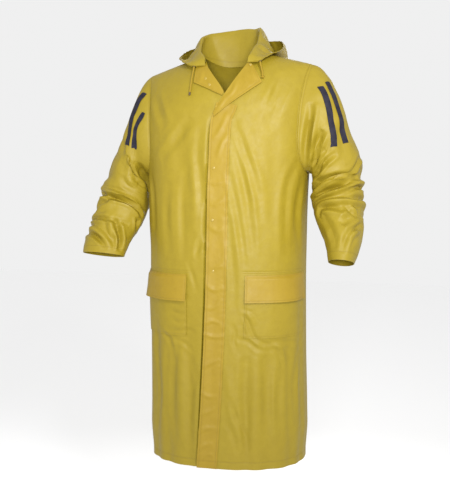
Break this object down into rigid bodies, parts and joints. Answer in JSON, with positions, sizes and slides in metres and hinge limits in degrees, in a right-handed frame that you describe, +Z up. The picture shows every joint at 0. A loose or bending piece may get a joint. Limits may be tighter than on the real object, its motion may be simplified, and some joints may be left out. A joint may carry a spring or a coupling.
{
  "type": "hooded raincoat",
  "caption": "Long hooded raincoat of coated cloth, hollow as if worn, with storm flap, turned-out lapels, flap pockets and its hood down.",
  "frame": {"origin": "the middle of the neck opening at shoulder height, where the wearer's shoulders hold the coat", "axes": "+Z up towards the neck, the closed front faces -Y, the wearer's left side is +X"},
  "size_m": [0.8336, 0.382, 1.298],
  "materials": {
    "coated_cloth": "satin PVC coating on woven polyester",
    "coated_cloth_facing": "satin PVC coating on woven polyester, doubled cloth",
    "tape_cloth": "matte woven tape",
    "snap_cap": "painted press-stud cap",
    "cord": "braided cord",
    "cord_tip": "moulded cord end"
  },
  "bodies": {
    "root": {"back": "coated_cloth", "cord_tip_left": "cord_tip", "cord_tip_right": "cord_tip", "drawcord_left": "cord", "drawcord_right": "cord", "front_left": "coated_cloth", "front_right": "coated_cloth", "hood": "coated_cloth", "lapel_left": "coated_cloth_facing", "lapel_right": "coated_cloth_facing", "pocket_flap_left": "coated_cloth_facing", "pocket_flap_right": "coated_cloth_facing", "pocket_left": "coated_cloth_facing", "pocket_right": "coated_cloth_facing", "sleeve_left_lower": "coated_cloth", "sleeve_left_upper": "coated_cloth", "sleeve_right_lower": "coated_cloth", "sleeve_right_upper": "coated_cloth", "snap_flap_lower": "snap_cap", "snap_flap_upper": "snap_cap", "snap_lapel_left": "snap_cap", "snap_lapel_right_lower": "snap_cap", "snap_lapel_right_upper": "snap_cap", "storm_flap": "coated_cloth_facing", "tape_left_back": "tape_cloth", "tape_left_front": "tape_cloth", "tape_right_back": "tape_cloth", "tape_right_front": "tape_cloth"}
  },
  "joints": []
}
